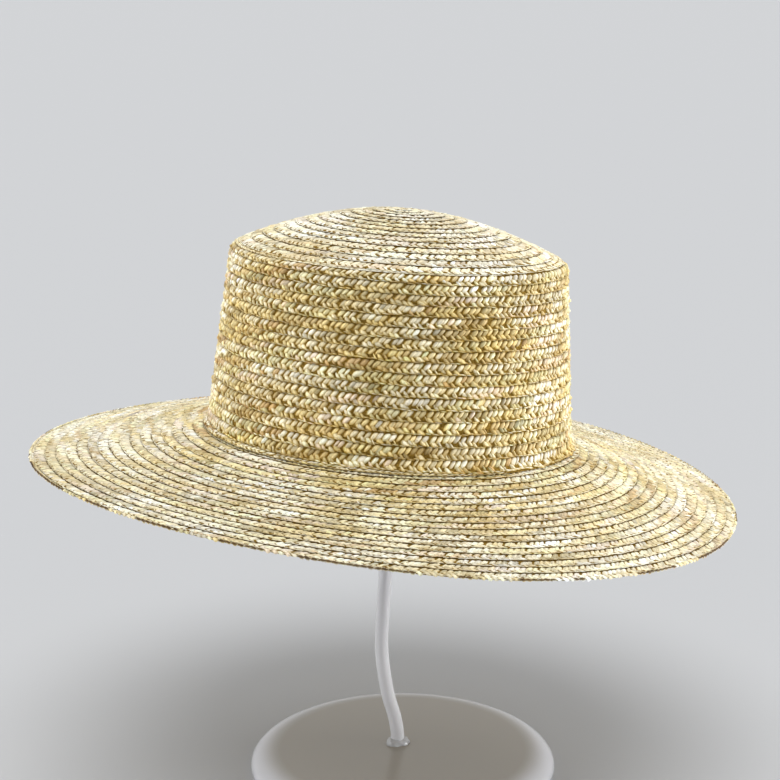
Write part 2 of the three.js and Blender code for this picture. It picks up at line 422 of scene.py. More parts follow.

# %% [markdown]
# The leaves are made as arrays in numpy and joined, because thousands of objects would be slow.
# A hand plait is uneven, so each leaf has its own width, height, place and tilt, drawn from a
# seeded generator. The same function lays the straws outside and inside the hat, where the rows
# overlap the other way round. A surface says on which face of the braid the leaves lie, their
# level at the row's inner edge and their rise across it, both in mm, the shares of the row
# between which they lie, how plump they are, and how deep the painted shade down their edges is.

# %% Laying folded straws
CROWN_FACE = {"face": 1, "level": -0.30, "rise": 1.05, "from": 0.0, "to": 1.0, "plump": 1.0, "edge_shade": 1.0}
TIP_FACE = {"face": 1, "level": -0.24, "rise": 0.59, "from": 0.0, "to": 1.0, "plump": 0.34, "edge_shade": 0.28}
BRIM_FACE = {"face": 1, "level": -0.18, "rise": 0.64, "from": 0.0, "to": 1.0, "plump": 0.32, "edge_shade": 0.40}
EDGE_FACE = {"face": 1, "level": -0.02, "rise": 0.62, "from": 0.0, "to": 1.0, "plump": 0.8, "edge_shade": 1.0}
BACK_FACE = {"face": -1, "level": 0.50, "rise": 0.55, "from": 0.86, "to": -0.16, "plump": 1.0, "edge_shade": 1.0}
UNEVEN = {"width": 0.15, "height": 0.30, "drift": 0.135, "across": 0.035, "tilt": 0.30}
LEAF_EDGE_DROP = 0.14
LEAF_FLATNESS = 2.7
SMALLEST_RADIUS = 2.5
PLUMP_AT_ENDS = 0.25


def lay_leaves(profile, rows, winding, leaf, surface, columns, loose, chance, edges=row_edges):
    """Points (leaf, section, side) of many leaves, and each point's nearness to the crest."""
    table = dict(zip(SECTION, np.array(leaf).T[:, None, :, None]))
    side = np.linspace(-1, 1, columns)[None, None, :]
    many = (len(winding), 1, 1)
    chance_of = {name: loose * size * chance.standard_normal(many) for name, size in UNEVEN.items()}
    inner, outer = edges(winding, rows)
    width = (outer - inner).reshape(many)
    radius = np.maximum(np.abs(profile((inner + outer) / 2)[0]), SMALLEST_RADIUS).reshape(many)
    drift = table["drift"] + chance_of["drift"]
    half = table["half_width"] * (1 + chance_of["width"])
    angle = winding.reshape(many) + STRAW_PITCH * (drift + half * side) / radius
    share = table["across"] + chance_of["across"] + 0 * side
    across = surface["from"] + (surface["to"] - surface["from"]) * share
    dome = 1 - np.abs(side) ** LEAF_FLATNESS
    crest = surface["plump"] * table["height"] * (1 + chance_of["height"])
    height = surface["level"] + surface["rise"] * share - LEAF_EDGE_DROP
    height = height + (crest + LEAF_EDGE_DROP) * dome + chance_of["tilt"] * side * dome
    height = surface["face"] * height * np.clip(PLUMP_AT_ENDS + width, 0, 1)
    points = lay(profile, rows, angle, across, height, edges)
    # Nearness to the crest sets how much painted shade a point gets.
    near = dome * np.clip(table["height"] / max(row[3] for row in leaf), 0, 1)
    return points, near


# %% [markdown]
# Natural straw is sorted but never even. Along a braid the tone changes in runs of a few
# straws, from cream to gold and tan, with now and then a greenish or rusty one. Each leaf takes
# its dye from such a run. A share of pale tone is painted light: the tip and the brim, where the
# light from above falls fully, are painted paler than the side, and the brim paler away from the
# crown's shade. The colour is stored on the mesh's points and darkened towards each leaf's edges
# with painted shade, where the leaves dip into the gaps between them.

# %% Straw colours
STRAW_TONES = {
    "cream": ((0.95, 0.89, 0.73), 0.20),
    "pale_gold": ((0.88, 0.79, 0.55), 0.28),
    "gold": ((0.74, 0.61, 0.30), 0.26),
    "tan": ((0.62, 0.47, 0.21), 0.09),
    "green": ((0.73, 0.68, 0.40), 0.08),
    "rose": ((0.88, 0.74, 0.60), 0.06),
    "rust": ((0.55, 0.36, 0.15), 0.03),
}
MEAN_TONE = (0.82, 0.71, 0.43)
TONE_STRENGTH = 0.85
# Painted light: the pale tone that the lit stretches of the hat are mixed towards.
LIT_PALE_TONE = (0.94, 0.89, 0.74)
LONGEST_RUN = 5
RUN_SPREAD = 0.09
SLOW_CHANGE = 60
SLOW_SPREAD = 0.05
STRAW_SPREAD = 0.13
BRIGHTEST = 0.98
SHORTEST_SHADE = 2
LONGEST_SHADE = 7
SHADED_SHARE = 0.5
# Painted shade down each leaf's edges; blue fades most, so the shade is a deep gold.
PAINTED_EDGE_SHADE = (0.52, 0.65, 0.92)
EDGE_SHADE_CURVE = 0.6


def straw_runs(count, lit_paleness, chance):
    """Colours of many straws in short runs, paled by painted light in shares given at start and end."""
    tones = np.array([tone for tone, _ in STRAW_TONES.values()])
    shares = np.array([share for _, share in STRAW_TONES.values()])
    tones = np.array(MEAN_TONE) * (1 - TONE_STRENGTH) + tones * TONE_STRENGTH
    lengths = chance.integers(1, LONGEST_RUN + 1, count)
    picks = chance.choice(len(tones), count, p=shares / shares.sum())
    run = np.repeat(picks, lengths)[:count]
    bright = np.repeat(chance.normal(1, RUN_SPREAD, count), lengths)[:count]
    knots = np.arange(0, count + SLOW_CHANGE, SLOW_CHANGE)
    slow = np.interp(np.arange(count), knots, chance.normal(1, SLOW_SPREAD, len(knots)))
    single = chance.normal(1, STRAW_SPREAD, count)
    pale = np.linspace(*lit_paleness, count)[:, None]
    dyed_and_lit = tones[run] * (1 - pale) + np.array(LIT_PALE_TONE) * pale
    return np.clip(dyed_and_lit * (bright * slow * single)[:, None], 0, BRIGHTEST)


def shade_runs(count, shade, chance):
    """A tint for each of many straws: runs in full light between runs in shade."""
    lengths = chance.integers(SHORTEST_SHADE, LONGEST_SHADE + 1, count)
    dark = np.repeat(chance.random(count) < SHADED_SHARE, lengths)[:count]
    return np.where(dark[:, None], shade, 1.0)[:, None, None, :]


def leaf_colours(tones, near, edge_shade):
    """The colour of every point, with painted shade: full on the leaf's crest, deep gold down its edges."""
    depth = 1 - np.clip(near, 0, 1) ** EDGE_SHADE_CURVE
    return tones[:, None, None, :] * (1 - depth[..., None] * edge_shade * np.array(PAINTED_EDGE_SHADE))


print("tones of straw:", ", ".join(STRAW_TONES))

# %% [markdown]
# The joined mesh is written in one go: points, quads, the dye with its painted light and shade
# as a colour attribute, and a UV map that runs along each straw in millimetres, which the fibre
# grain will follow.

# %% From arrays to a mesh
LEAF_LENGTH = 4
GRAIN_AREA = 400


def grid_quads(count, rows, columns, flip):
    """Corner numbers of all quads in many grids of points."""
    corner = np.arange(rows * columns).reshape(rows, columns)
    quad = np.stack([corner[:-1, :-1], corner[1:, :-1], corner[1:, 1:], corner[:-1, 1:]], axis=-1)
    quad = quad.reshape(-1, 4)
    if flip:
        quad = quad[:, ::-1]
    return (quad[None] + (np.arange(count) * rows * columns)[:, None, None]).reshape(-1, 4)


def leaf_grain(count, sections, columns, half_width, chance):
    """The UV points of many leaves, in mm, each leaf at its own place on the map."""
    u = np.linspace(-half_width, half_width, columns)[None, :]
    v = np.linspace(0, LEAF_LENGTH, sections)[:, None]
    grid = np.stack(np.broadcast_arrays(u, v), axis=-1)[None]
    return grid + chance.uniform(0, GRAIN_AREA, (count, 1, 1, 2))


class MeshHeap:
    """Grids of points that are joined into one mesh."""

    def __init__(self):
        self.points, self.quads, self.grain, self.colours = [], [], [], []
        self.count = 0

    def add(self, points, quads, grain, colours=None):
        self.points.append(points.reshape(-1, 3))
        self.quads.append(quads + self.count)
        self.grain.append(grain.reshape(-1, 2))
        if colours is not None:
            self.colours.append(colours.reshape(-1, 3))
        self.count += self.points[-1].shape[0]

    def to_object(self, name, material):
        points = np.concatenate(self.points)
        quads = np.concatenate(self.quads)
        mesh = bpy.data.meshes.new(name)
        mesh.vertices.add(len(points))
        mesh.vertices.foreach_set("co", points.ravel())
        mesh.loops.add(quads.size)
        mesh.loops.foreach_set("vertex_index", quads.ravel().astype(np.int32))
        mesh.polygons.add(len(quads))
        mesh.polygons.foreach_set("loop_start", np.arange(0, quads.size, 4, dtype=np.int32))
        mesh.polygons.foreach_set("use_smooth", np.ones(len(quads), dtype=bool))
        if self.colours:
            colours = np.concatenate(self.colours)
            # The colour attribute holds the dye with its painted light and shade.
            dye_and_light = mesh.attributes.new("straw_dye_and_painted_light", "FLOAT_COLOR", "POINT")
            dye_and_light.data.foreach_set("color", np.c_[colours, np.ones(len(colours))].ravel())
        grain = np.concatenate(self.grain)[quads.ravel()]
        mesh.uv_layers.new(name="along_straw").data.foreach_set("uv", grain.ravel())
        mesh.update(calc_edges=True)
        mesh.validate()
        mesh.materials.append(material)
        piece = bpy.data.objects.new(name, mesh)
        bpy.context.scene.collection.objects.link(piece)
        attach(piece, "root")
        print(name, "triangles:", 2 * len(quads))
        return piece


# %% [markdown]
# A material is a tree of nodes, and a few kinds of node come back in all of them. Each kind
# gets a helper that returns the socket the next node needs, so that a material can be read from
# top to bottom. The places are only where a node is drawn in the shader editor.

# %% Helpers for material nodes
def node(tree, kind, place, **settings):
    made = tree.nodes.new(kind)
    made.location = place
    for key, value in settings.items():
        setattr(made, key, value)
    return made


def noise(tree, place, source, scale, detail=2):
    """A grey noise on the coordinates that a socket gives."""
    made = node(tree, "ShaderNodeTexNoise", place)
    made.inputs["Scale"].default_value = scale
    made.inputs["Detail"].default_value = detail
    tree.links.new(source, made.inputs["Vector"])
    return made.outputs["Fac"]


def stretched(tree, place, source, scale):
    """Coordinates that are multiplied by a scale for each axis."""
    made = node(tree, "ShaderNodeMapping", place)
    made.inputs["Scale"].default_value = scale
    tree.links.new(source, made.inputs["Vector"])
    return made.outputs[0]


def mix_colour(tree, place, blend, factor, first, second):
    """A colour mix; factor, first and second are sockets or plain values."""
    mix = node(tree, "ShaderNodeMix", place, data_type="RGBA", blend_type=blend)
    for socket, value in ((mix.inputs[0], factor), (mix.inputs[6], first), (mix.inputs[7], second)):
        if isinstance(value, bpy.types.NodeSocket):
            tree.links.new(value, socket)
        else:
            socket.default_value = value
    return mix.outputs[2]


def ramp(tree, place, source, stops):
    """A colour ramp with (position, grey) stops."""
    made = node(tree, "ShaderNodeValToRGB", place)
    elements = made.color_ramp.elements
    while len(elements) < len(stops):
        elements.new(0.5)
    for element, (position, grey) in zip(elements, stops):
        element.position = position
        element.color = (grey, grey, grey, 1)
    tree.links.new(source, made.inputs[0])
    return made.outputs[0]


def add_relief(tree, place, source, strength, depth):
    """A fine relief on the whole surface, with a strength from 0 to 1 and a depth in mm."""
    made = node(tree, "ShaderNodeBump", place)
    made.inputs["Strength"].default_value = strength
    made.inputs["Distance"].default_value = depth * MM
    tree.links.new(source, made.inputs["Height"])
    tree.links.new(made.outputs[0], tree.nodes["Principled BSDF"].inputs["Normal"])


# %% [markdown]
# The finish of dry straw is a thin waxy skin over fine lengthwise fibres. The material takes the
# dye, with its painted light and shade, from the mesh and multiplies it by two noises that are
# stretched along each straw, one for fibres and one for broader stripes. Slow patches of pale
# and tan go over many straws, where one bundle followed another, and small rust flecks are
# scattered on top. The fibre noise also makes the skin rougher and smoother and gives it a
# little relief. The skin reflects only half as much as a smooth plastic would, because much of
# it is matt fibre.

# %% Straw material
STRAW_REFLECTION = 0.25
FIBRE_STRETCH = (7.0, 0.55, 1.0)
FIBRE_SCALE = 1.6
FIBRE_GREYS = [(0.3, 0.72), (0.5, 0.98), (0.7, 1.12)]
FIBRE_ROUGHNESS = [(0.3, 0.62), (0.7, 0.40)]
STRIPE_STRETCH = (1.1, 0.3, 1.0)
STRIPE_GREYS = [(0.32, 0.74), (0.5, 0.98), (0.65, 1.16)]
PATCH_SCALE = 38.0
TAN_PATCH = (0.93, 0.89, 0.78, 1)
PALE_PATCH = (1.06, 1.09, 1.18, 1)
FLECK_SCALE = 900.0
RUST = (0.25, 0.15, 0.05, 1)
STRAW_RELIEF = (0.35, 0.06)


def straw_material():
    material, tree, inputs = new_material("plaited_straw")
    inputs["Specular IOR Level"].default_value = STRAW_REFLECTION
    dye_and_light = node(tree, "ShaderNodeAttribute", (-1200, 300), attribute_name="straw_dye_and_painted_light").outputs["Color"]
    along = node(tree, "ShaderNodeUVMap", (-1500, 0), uv_map="along_straw").outputs[0]
    place = node(tree, "ShaderNodeTexCoord", (-1500, -400)).outputs["Object"]
    fibre = noise(tree, (-1100, 0), stretched(tree, (-1300, 0), along, FIBRE_STRETCH), FIBRE_SCALE, detail=3)
    streaks = ramp(tree, (-900, 0), fibre, FIBRE_GREYS)
    colour = mix_colour(tree, (-800, 200), "MULTIPLY", 1.0, dye_and_light, streaks)
    bundles = noise(tree, (-1300, 800), place, PATCH_SCALE, detail=3)
    share = ramp(tree, (-1100, 800), bundles, [(0.4, 0), (0.6, 1)])
    patches = mix_colour(tree, (-800, 800), "MIX", share, TAN_PATCH, PALE_PATCH)
    colour = mix_colour(tree, (-700, 200), "MULTIPLY", 1.0, colour, patches)
    stripe = noise(tree, (-1100, 500), stretched(tree, (-1300, 500), along, STRIPE_STRETCH), 1.0)
    stripes = ramp(tree, (-900, 500), stripe, STRIPE_GREYS)
    colour = mix_colour(tree, (-600, 200), "MULTIPLY", 1.0, colour, stripes)
    specks = noise(tree, (-1300, -400), place, FLECK_SCALE)
    flecks = ramp(tree, (-1100, -400), specks, [(0.70, 0), (0.78, 0.75)])
    colour = mix_colour(tree, (-400, 200), "MIX", flecks, colour, RUST)
    tree.links.new(colour, inputs["Base Color"])
    tree.links.new(ramp(tree, (-900, -200), fibre, FIBRE_ROUGHNESS), inputs["Roughness"])
    add_relief(tree, (-400, -200), fibre, *STRAW_RELIEF)
    return material


straw = straw_material()
print("material:", straw.name)

# %% [markdown]
# The layers under the leaves are the same straw, but little light reaches them. They get a dull
# dark brown as painted shade, with a grain that follows the same map of the straw.

# %% Straw material with painted shade
# Painted shade: dark brown for the layers that little light reaches.
PAINTED_SHADE_DARK = (0.13, 0.07, 0.011, 1)
PAINTED_SHADE_PALE = (0.33, 0.205, 0.038, 1)
HIDDEN_REFLECTION = 0.08
HIDDEN_ROUGHNESS = 0.9
HIDDEN_GRAIN = 0.9
HIDDEN_RELIEF = (0.5, 0.1)


def painted_shade_material():
    material, tree, inputs = new_material("painted_shade_straw")
    inputs["Specular IOR Level"].default_value = HIDDEN_REFLECTION
    inputs["Roughness"].default_value = HIDDEN_ROUGHNESS
    along = node(tree, "ShaderNodeUVMap", (-900, 0), uv_map="along_straw").outputs[0]
    grain = noise(tree, (-700, 0), along, HIDDEN_GRAIN, detail=4)
    share = ramp(tree, (-500, 0), grain, [(0.35, 0.0), (0.65, 1.0)])
    tone = mix_colour(tree, (-200, 0), "MIX", share, PAINTED_SHADE_DARK, PAINTED_SHADE_PALE)
    tree.links.new(tone, inputs["Base Color"])
    add_relief(tree, (-200, -250), grain, *HIDDEN_RELIEF)
    return material


painted_shade_straw = painted_shade_material()
print("material:", painted_shade_straw.name)

# %% [markdown]
# Under the leaves lies the braid's own body, the layers of straw that the plait hides. It is a
# thin band, wound along the same spiral, whose inner edge is tucked under the turn before. It
# closes the hat, and its dark tone, a painted shade, is what shows in the small holes and under
# each row's edge. Its section is a ring of points: the share across the row, and the height in mm.

# %% Body of the braid
BODY_SECTION = [
    (-0.42, -0.50), (0.0, -0.46), (0.5, -0.04), (0.94, 0.32),
    (0.94, -0.20), (0.5, -0.55), (0.0, -0.92), (-0.42, -0.98),
]
BODY_START = 0.12
BODY_STEP = 5.0
BODY_AT_ENDS = 0.15
ROW_WIDTH = 6


def add_body(heap, profile, rows):
    winding = winding_steps(profile, rows, BODY_STEP, start=BODY_START)
    inner, outer = row_edges(winding, rows)
    width = (outer - inner)[:, None]
    section = np.array(BODY_SECTION + BODY_SECTION[:1])
    height = section[None, :, 1] * np.clip(width + BODY_AT_ENDS, 0, 1)
    across = np.broadcast_to(section[None, :, 0], height.shape)
    points = lay(profile, rows, np.broadcast_to(winding[:, None], height.shape), across, height)
    along = np.broadcast_to(np.arange(len(winding))[:, None] * BODY_STEP, across.shape)
    grain = np.stack([across * ROW_WIDTH, along], axis=-1)
    heap.add(points, grid_quads(1, len(winding), len(section), False), grain)


print("points round the body:", len(BODY_SECTION))

# %% [markdown]
# One function lays all the straws of an area. It takes the kinds of leaf one after the other.
# Each kind starts a few straws later in the same run of tones, because a real straw comes up
# again a little further along the plait. A kind may have a tint, which on the crown's lower
# leaves is painted shade, and may lie in painted shade for short stretches, which breaks up the
# pale line along the braid's lower edge.

# %% Straws of one area
Kind = namedtuple("Kind", "leaf columns loose tint shade", defaults=((1, 1, 1), None))
# Painted shade: the crown's lower leaves, the same straws as the upper ones, go darker and deeper gold.
LOWER_LEAF_SHADE = (0.98, 0.96, 0.87)
FOLD_SHADE = 0.72
THINNEST_ROW = 0.12
WEAVE_SHIFT = 3
LEAF_HALF_WIDTH = 1.5
CROWN_KINDS = [
    Kind(UPPER_LEAF, 5, 1.0),
    Kind(LOWER_LEAF, 4, 1.8, tint=LOWER_LEAF_SHADE),
    Kind(EDGE_FOLD, 3, 1.0, shade=FOLD_SHADE),
]
FLAT_KINDS = [
    Kind(FLAT_UPPER_LEAF, 5, 1.0),
    Kind(FLAT_LOWER_LEAF, 4, 1.4),
    Kind(EDGE_FOLD, 3, 1.0, shade=FOLD_SHADE),
]
BACK_KINDS = [Kind(BACK_LEAF, 4, 1.0), Kind(BACK_FOLD, 4, 1.2)]


def add_leaves(heap, profile, rows, surface, kinds, seed, lit_paleness, part):
    """Straws of all kinds in one stretch of the winding, given as two shares of it."""
    chance = np.random.default_rng(seed)
    winding = winding_steps(profile, rows, STRAW_PITCH)
    winding = winding[int(part[0] * len(winding)):int(part[1] * len(winding))]
    inner, outer = row_edges(winding, rows)
    shown = (outer - inner) > THINNEST_ROW
    tones = straw_runs(len(winding) + 2 * WEAVE_SHIFT, lit_paleness, chance)
    for number, kind in enumerate(kinds):
        sections, columns = len(kind.leaf), kind.columns
        points, near = lay_leaves(
            profile, rows, winding[shown], kind.leaf, surface, columns, kind.loose, chance)
        shift = number * WEAVE_SHIFT
        colours = leaf_colours(tones[shift:shift + len(winding)][shown], near, surface["edge_shade"])
        colours = colours * np.array(kind.tint)
        if kind.shade:
            colours = colours * shade_runs(len(points), kind.shade, chance)
        grain = leaf_grain(len(points), sections, columns, LEAF_HALF_WIDTH, chance)
        quads = grid_quads(len(points), sections, columns, surface["face"] < 0)
        heap.add(points, quads, grain, colours)


print("kinds of leaf outside and inside:", len(CROWN_KINDS), len(BACK_KINDS))

# %% [markdown]
# Now the hat itself. Outside and inside are separate pieces, and the brim's wide top is made in
# two, so that none grows too large. The inside and the underside are seen less closely and get
# simpler leaves. The tip is painted palest, and the brim paler from the crown outwards: painted
# light where the light from above falls fully. Each area has a seed of its own, so that no two
# are uneven in the same way.

# %% The hat, area by area
WHOLE = (0, 1)
NO_LIT_PALENESS = (0, 0)
SEEDS = {"tip": 10, "side": 20, "brim": 30}


def body_piece(name, profile, rows, node_name):
    heap = MeshHeap()
    add_body(heap, profile, rows)
    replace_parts(heap.to_object(name, painted_shade_straw), node_name)


def straw_piece(name, profile, rows, surface, kinds, seed, node_name, part=WHOLE, lit_paleness=NO_LIT_PALENESS):
    heap = MeshHeap()
    add_leaves(heap, profile, rows, surface, kinds, seed, lit_paleness, part)
    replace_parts(heap.to_object(name, straw), node_name)


def dress_area(area, profile, rows, node_name, face, kinds, stretches):
    """An area's body, inside and outside. A stretch is a part of the winding and its painted light."""
    seed = SEEDS[area]
    body_piece(area + "_braid_body", profile, rows, node_name)
    straw_piece(area + "_braid_back", profile, rows, BACK_FACE, BACK_KINDS, seed + 1, node_name)
    for number, (part, lit_paleness) in enumerate(stretches):
        name = f"{area}_braid_front_{number + 1}"
        straw_piece(name, profile, rows, face, kinds, seed + 2 + number, node_name, part, lit_paleness)


# The second pair of a stretch is its share of pale painted light, at its start and its end.
TIP_STRETCHES = [(WHOLE, (0.44, 0.38))]
SIDE_STRETCHES = [(WHOLE, (0.08, 0.0))]
BRIM_STRETCHES = [((0, 0.5), (0.0, 0.30)), ((0.5, 1), (0.30, 0.42))]
dress_area("tip", tip_profile, TIP_ROWS, "crown_tip", TIP_FACE, FLAT_KINDS, TIP_STRETCHES)
dress_area("side", side_profile, SIDE_ROWS, "crown_side", CROWN_FACE, CROWN_KINDS, SIDE_STRETCHES)
dress_area("brim", brim_profile, BRIM_ROWS, "brim", BRIM_FACE, FLAT_KINDS, BRIM_STRETCHES)

# %% [markdown]
# At the brim's edge the straws turn over and run back underneath, so each shows as a small
# loop with a dark gap beside it. They give the hat its toothed outline. One ring of such loops
# is laid over the last row. The gaps are too fine to be open holes, so in short runs the part
# of a loop that turns over the edge is painted nearly black instead, as painted shade.

# %% Loops along the brim's edge
EDGE_SEED = 41
# A small even share of pale painted light on the loops.
EDGE_LIT_PALENESS = (0.1, 0.1)
LOOP_COLUMNS = 4
LOOP_LOOSENESS = 0.55
LOOP_HALF_WIDTH = 1.3
LOOP_SHADE = (0.13, 0.08, 0.03)
LOOP_EDGE = 0.25
TURNED_OVER = slice(2, 4)


def edge_loops():
    chance = np.random.default_rng(EDGE_SEED)
    count = int(TURN * (CROWN_RADIUS + BRIM_WIDTH) / STRAW_PITCH)
    winding = np.arange(count) * TURN / count
    points, _ = lay_leaves(brim_profile, BRIM_ROWS, winding, EDGE_LOOP, EDGE_FACE, LOOP_COLUMNS,
                           LOOP_LOOSENESS, chance, last_row_edges)
    # Painted shade towards each loop's sides.
    dome = np.sqrt(np.maximum(0, 1 - np.linspace(-1, 1, LOOP_COLUMNS)**2))
    near = np.broadcast_to(LOOP_EDGE + (1 - LOOP_EDGE) * dome, points.shape[:3])
    colours = leaf_colours(straw_runs(count, EDGE_LIT_PALENESS, chance), near, EDGE_FACE["edge_shade"])
    # Painted shade for the dark gaps, in short runs, on the part that turns over the edge.
    colours[:, TURNED_OVER] *= shade_runs(count, LOOP_SHADE, chance)
    grain = leaf_grain(count, len(EDGE_LOOP), LOOP_COLUMNS, LOOP_HALF_WIDTH, chance)
    heap = MeshHeap()
    heap.add(points, grid_quads(count, len(EDGE_LOOP), LOOP_COLUMNS, False), grain, colours)
    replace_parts(heap.to_object("brim_edge_loops", straw), "brim")


edge_loops()

# %% [markdown]
# The stand is plain plastic. Its round base is thick and cloudy, with a bevel that catches the
# light as a white ring. The rod is a tube that was bent by hand when warm, so its line is not
# quite straight. A small blob of clear glue holds it to the base. A cylinder from Blender's menu
# has a hard edge and a fixed shape, so all of these are turned or swept in code instead, with
# enough steps to look smooth.

# %% Turning a body on its axis
def link_piece(name, points, faces, material, node_name):
    mesh = bpy.data.meshes.new(name)
    mesh.from_pydata([tuple(p) for p in points], [], faces)
    mesh.polygons.foreach_set("use_smooth", [True] * len(mesh.polygons))
    mesh.materials.append(material)
    mesh.update()
    piece = bpy.data.objects.new(name, mesh)
    bpy.context.scene.collection.objects.link(piece)
    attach(piece, "root")
    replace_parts(piece, node_name)
    print(name, "faces:", len(faces))


def turned_faces(rings, segments):
    """Faces of a turned body whose first and last ring are single points on the axis."""
    faces = []
    ring_start = [1 + i * segments for i in range(rings)]
    last = 1 + rings * segments
    for j in range(segments):
        k = (j + 1) % segments
        faces.append((0, ring_start[0] + k, ring_start[0] + j))
        faces.append((last, ring_start[-1] + j, ring_start[-1] + k))
        for a, b in zip(ring_start[:-1], ring_start[1:]):
            faces.append((a + j, a + k, b + k, b + j))
    return faces


def turned_points(profile, segments, place=(0, 0, 0), lump=None):
    """Points of a turned body. The profile's first and last point lie on the axis."""
    points = [Vector((0, 0, profile[0][1]))]
    for radius, height in profile[1:-1]:
        for j in range(segments):
            angle = TURN * j / segments
            r = radius * (lump(angle, height) if lump else 1)
            points.append(Vector((r * math.cos(angle), r * math.sin(angle), height)))
    points.append(Vector((0, 0, profile[-1][1])))
    return [(p + Vector(place)) * MM for p in points]


# %% [markdown]
# Clear plastic lets light through, and its look comes from what it bends and reflects. How much
# passes is the transmission. The thick base is cloudy, so little passes and it shows a pale body
# of its own. The glue and the pad let most of it through. The rod is cloudy at its foot and
# clears upwards. A weak noise in the colour and in the polish, and tiny marks in the relief,
# keep all three from looking like computer glass.

# %% Stand materials
PLASTIC_IOR = 1.49
HAZE_SCALE = 18.0
HAZE_GREY = 0.97
WEAR = 1.35
MARKS_SCALE = 420.0
MARKS_RELIEF = (0.015, 0.05)
ROD_CLOUDY = 0.2
ROD_CLEAR = 0.8
CLEARING = (60, 150)


def plastic_material(name, colour, transmission, rough):
    material, tree, inputs = new_material(name)
    inputs["IOR"].default_value = PLASTIC_IOR
    inputs["Transmission Weight"].default_value = transmission
    place = node(tree, "ShaderNodeTexCoord", (-1200, 0)).outputs["Object"]
    haze = noise(tree, (-1000, 0), place, HAZE_SCALE, detail=5)
    tint = ramp(tree, (-700, 100), haze, [(0.35, 1.0), (0.75, HAZE_GREY)])
    tree.links.new(mix_colour(tree, (-400, 100), "MULTIPLY", 1.0, colour, tint), inputs["Base Color"])
    wear = ramp(tree, (-700, -150), haze, [(0.3, rough), (0.75, rough * WEAR)])
    tree.links.new(wear, inputs["Roughness"])
    marks = noise(tree, (-1000, -400), place, MARKS_SCALE)
    add_relief(tree, (-400, -300), marks, *MARKS_RELIEF)
    return material


def clear_upwards(material, low, high, cloudy, clear):
    """Let a plastic run from cloudy to clear between two heights in mm."""
    tree = material.node_tree
    place = node(tree, "ShaderNodeTexCoord", (-1200, -700))
    parts = node(tree, "ShaderNodeSeparateXYZ", (-1000, -700))
    tree.links.new(place.outputs["Object"], parts.inputs[0])
    share = node(tree, "ShaderNodeMapRange", (-800, -700))
    share.inputs["From Min"].default_value = low * MM
    share.inputs["From Max"].default_value = high * MM
    share.inputs["To Min"].default_value = cloudy
    share.inputs["To Max"].default_value = clear
    tree.links.new(parts.outputs["Z"], share.inputs["Value"])
    tree.links.new(share.outputs[0], tree.nodes["Principled BSDF"].inputs["Transmission Weight"])


frosted_plastic = plastic_material(
    "frosted_plastic", colour=(0.80, 0.80, 0.84, 1), transmission=0.12, rough=0.14)
milky_plastic = plastic_material(
    "milky_plastic", colour=(0.88, 0.88, 0.91, 1), transmission=ROD_CLOUDY, rough=0.12)
clear_plastic = plastic_material(
    "clear_plastic", colour=(0.97, 0.97, 0.98, 1), transmission=0.60, rough=0.08)
clear_upwards(milky_plastic, *CLEARING, ROD_CLOUDY, ROD_CLEAR)
print("materials:", frosted_plastic.name, milky_plastic.name, clear_plastic.name)

# %% [markdown]
# The base is a disc with a bevel that is a quarter of an oval, and a tiny chamfer where it
# stands. On the real one the flat middle looks darker and browner than the rim, because one
# sees through to what lies underneath and the hat's shadow falls there. The material paints
# this in as painted shade, by its distance from the axis, which is cheaper and steadier to
# render than deep transmission.

# %% The stand's base
BASE_RADIUS = 87.0
BASE_FLAT_RADIUS = 72.0
BASE_HEIGHT = 9.5
BASE_LIP = 1.4
FOOT_CHAMFER = 0.5
BEVEL_STEPS = 24
BASE_SEGMENTS = 144
# Painted shade in the base's middle: the hat's shadow and the shaded floor seen through it.
SHADED_MIDDLE_COLOUR = (0.465, 0.43, 0.375, 1)
MIDDLE_END = BASE_FLAT_RADIUS - 3
RIM_START = BASE_FLAT_RADIUS + 11


def base_profile():
    profile = [(0, 0), (BASE_RADIUS * 0.5, 0), (BASE_RADIUS - FOOT_CHAMFER, 0)]
    profile.append((BASE_RADIUS, FOOT_CHAMFER))
    for step in range(BEVEL_STEPS + 1):
        angle = step / BEVEL_STEPS * math.pi / 2
        radius = BASE_FLAT_RADIUS + (BASE_RADIUS - BASE_FLAT_RADIUS) * math.cos(angle)
        profile.append((radius, BASE_LIP + (BASE_HEIGHT - BASE_LIP) * math.sin(angle)))
    profile += [(BASE_FLAT_RADIUS * 0.5, BASE_HEIGHT), (0, BASE_HEIGHT)]
    return profile


def darken_middle(material, colour, start, end):
    """Let a material run to another colour inwards, between two distances from the axis in mm."""
    tree = material.node_tree
    shader = tree.nodes["Principled BSDF"]
    outer = shader.inputs["Base Color"].links[0].from_socket
    place = node(tree, "ShaderNodeTexCoord", (-1200, 500))
    flat = node(tree, "ShaderNodeVectorMath", (-1000, 500), operation="MULTIPLY")
    flat.inputs[1].default_value = (1, 1, 0)
    tree.links.new(place.outputs["Object"], flat.inputs[0])
    radius = node(tree, "ShaderNodeVectorMath", (-800, 500), operation="LENGTH")
    tree.links.new(flat.outputs[0], radius.inputs[0])
    share = node(tree, "ShaderNodeMapRange", (-600, 500), interpolation_type="SMOOTHSTEP")
    share.inputs["From Min"].default_value = start * MM
    share.inputs["From Max"].default_value = end * MM
    tree.links.new(radius.outputs["Value"], share.inputs["Value"])
    mixed = mix_colour(tree, (-200, 300), "MIX", share.outputs[0], colour, outer)
    tree.links.new(mixed, shader.inputs["Base Color"])


base_outline = base_profile()
link_piece("round_base", turned_points(base_outline, BASE_SEGMENTS),
           turned_faces(len(base_outline) - 2, BASE_SEGMENTS),
           frosted_plastic, "stand_base")
darken_middle(frosted_plastic, SHADED_MIDDLE_COLOUR, MIDDLE_END, RIM_START)

